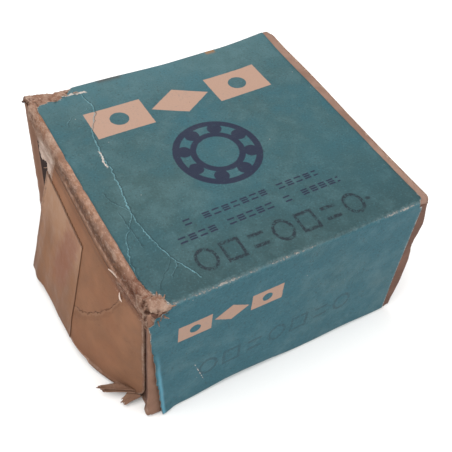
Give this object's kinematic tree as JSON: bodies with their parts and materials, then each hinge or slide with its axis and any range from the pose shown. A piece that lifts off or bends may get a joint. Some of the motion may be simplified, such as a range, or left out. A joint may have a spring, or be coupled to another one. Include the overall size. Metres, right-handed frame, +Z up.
{
  "type": "boxed thrust ball bearing",
  "caption": "Worn tuck-end board carton with printed facing and an ajar taped end, holding a double-direction thrust ball bearing with a spinning centre washer.",
  "frame": {"origin": "centre of the carton's base, on the surface it stands on", "axes": "+X along the printed front face towards the sound, tucked end; +Y towards the back wall with the glued seam; +Z up, along the bearing's axis"},
  "size_m": [0.0623, 0.0564, 0.0335],
  "materials": {
    "board": "matt uncoated brown board, soiled",
    "print": "matt printed paper facing, rubbed",
    "tape": "aged semi-clear film",
    "washer_steel": "ground bearing steel, oiled",
    "cage_steel": "pressed steel sheet",
    "ball_steel": "polished steel balls"
  },
  "bodies": {
    "sleeve": {"top_wall": "board", "front_wall": "board", "bottom_wall": "board", "back_wall": "board", "glue_flap": "board", "top_print_ply": "print", "front_print_ply": "print", "bottom_print_ply": "print", "back_print_ply": "print"},
    "left_closure": {"left_closure_panel": "board", "sealing_tape": "tape"},
    "left_tongue": {"left_tuck_tongue": "board"},
    "left_front_dust": {"left_front_dust_flap": "board"},
    "left_back_dust": {"left_back_dust_flap": "board"},
    "right_closure": {"right_closure_panel": "board"},
    "right_tongue": {"right_tuck_tongue": "board"},
    "right_front_dust": {"right_front_dust_flap": "board"},
    "right_back_dust": {"right_back_dust_flap": "board"},
    "bearing": {"lower_housing_washer": "washer_steel", "upper_housing_washer": "washer_steel"},
    "centre": {"centre_washer": "washer_steel"},
    "lower_ball_row": {"lower_cage": "cage_steel", "lower_ball_1": "ball_steel", "lower_ball_2": "ball_steel", "lower_ball_3": "ball_steel", "lower_ball_4": "ball_steel", "lower_ball_5": "ball_steel", "lower_ball_6": "ball_steel", "lower_ball_7": "ball_steel", "lower_ball_8": "ball_steel", "lower_ball_9": "ball_steel", "lower_ball_10": "ball_steel", "lower_ball_11": "ball_steel", "lower_ball_12": "ball_steel", "lower_ball_13": "ball_steel"},
    "upper_ball_row": {"upper_cage": "cage_steel", "upper_ball_1": "ball_steel", "upper_ball_2": "ball_steel", "upper_ball_3": "ball_steel", "upper_ball_4": "ball_steel", "upper_ball_5": "ball_steel", "upper_ball_6": "ball_steel", "upper_ball_7": "ball_steel", "upper_ball_8": "ball_steel", "upper_ball_9": "ball_steel", "upper_ball_10": "ball_steel", "upper_ball_11": "ball_steel", "upper_ball_12": "ball_steel", "upper_ball_13": "ball_steel"}
  },
  "joints": [
    {"name": "left_closure_hinge", "type": "hinge", "parent": "sleeve", "child": "left_closure", "pos_m": [-0.0275, 0, 0.03338], "axis": [0, 1, 0], "range_deg": [0, 108]},
    {"name": "left_tongue_fold", "type": "hinge", "parent": "left_closure", "child": "left_tongue", "pos_m": [-0.0343, 0, 0.00158], "axis": [0, 1, 0], "range_deg": [0, 54]},
    {"name": "left_front_dust_hinge", "type": "hinge", "parent": "sleeve", "child": "left_front_dust", "pos_m": [-0.02685, -0.02813, 0.01675], "axis": [0, 0, 1], "range_deg": [0, 81]},
    {"name": "left_back_dust_hinge", "type": "hinge", "parent": "sleeve", "child": "left_back_dust", "pos_m": [-0.02685, 0.02813, 0.01675], "axis": [0, 0, -1], "range_deg": [0, 81]},
    {"name": "right_closure_hinge", "type": "hinge", "parent": "sleeve", "child": "right_closure", "pos_m": [0.0275, 0, 0.00017], "axis": [0, 1, 0], "range_deg": [0, 90]},
    {"name": "right_tongue_fold", "type": "hinge", "parent": "right_closure", "child": "right_tongue", "pos_m": [0.02679, 0, 0.0325], "axis": [0, 1, 0], "range_deg": [0, 22.5]},
    {"name": "right_front_dust_hinge", "type": "hinge", "parent": "sleeve", "child": "right_front_dust", "pos_m": [0.02685, -0.02813, 0.01675], "axis": [0, 0, -1], "range_deg": [0, 67.5]},
    {"name": "right_back_dust_hinge", "type": "hinge", "parent": "sleeve", "child": "right_back_dust", "pos_m": [0.02685, 0.02813, 0.01675], "axis": [0, 0, 1], "range_deg": [0, 67.5]},
    {"name": "bearing_play", "type": "slide", "parent": "sleeve", "child": "bearing", "axis": [0, 1, 0], "range_m": [-0.0014, 0.0008]},
    {"name": "centre_washer_spin", "type": "hinge", "parent": "bearing", "child": "centre", "pos_m": [0, 0, 0.01527], "axis": [0, 0, 1], "continuous": true},
    {"name": "lower_cage_spin", "type": "hinge", "parent": "bearing", "child": "lower_ball_row", "pos_m": [0, 0, 0.00907], "axis": [0, 0, 1], "continuous": true},
    {"name": "upper_cage_spin", "type": "hinge", "parent": "bearing", "child": "upper_ball_row", "pos_m": [0, 0, 0.02147], "axis": [0, 0, 1], "continuous": true}
  ],
  "couplings": [
    {"joint": "left_tongue_fold", "follows": "left_closure_hinge", "ratio": 0.5},
    {"joint": "left_front_dust_hinge", "follows": "left_closure_hinge", "ratio": 0.75},
    {"joint": "left_back_dust_hinge", "follows": "left_closure_hinge", "ratio": 0.75},
    {"joint": "right_tongue_fold", "follows": "right_closure_hinge", "ratio": 0.25},
    {"joint": "right_front_dust_hinge", "follows": "right_closure_hinge", "ratio": 0.75},
    {"joint": "right_back_dust_hinge", "follows": "right_closure_hinge", "ratio": 0.75},
    {"joint": "lower_cage_spin", "follows": "centre_washer_spin", "ratio": 0.5},
    {"joint": "upper_cage_spin", "follows": "centre_washer_spin", "ratio": 0.5}
  ]
}
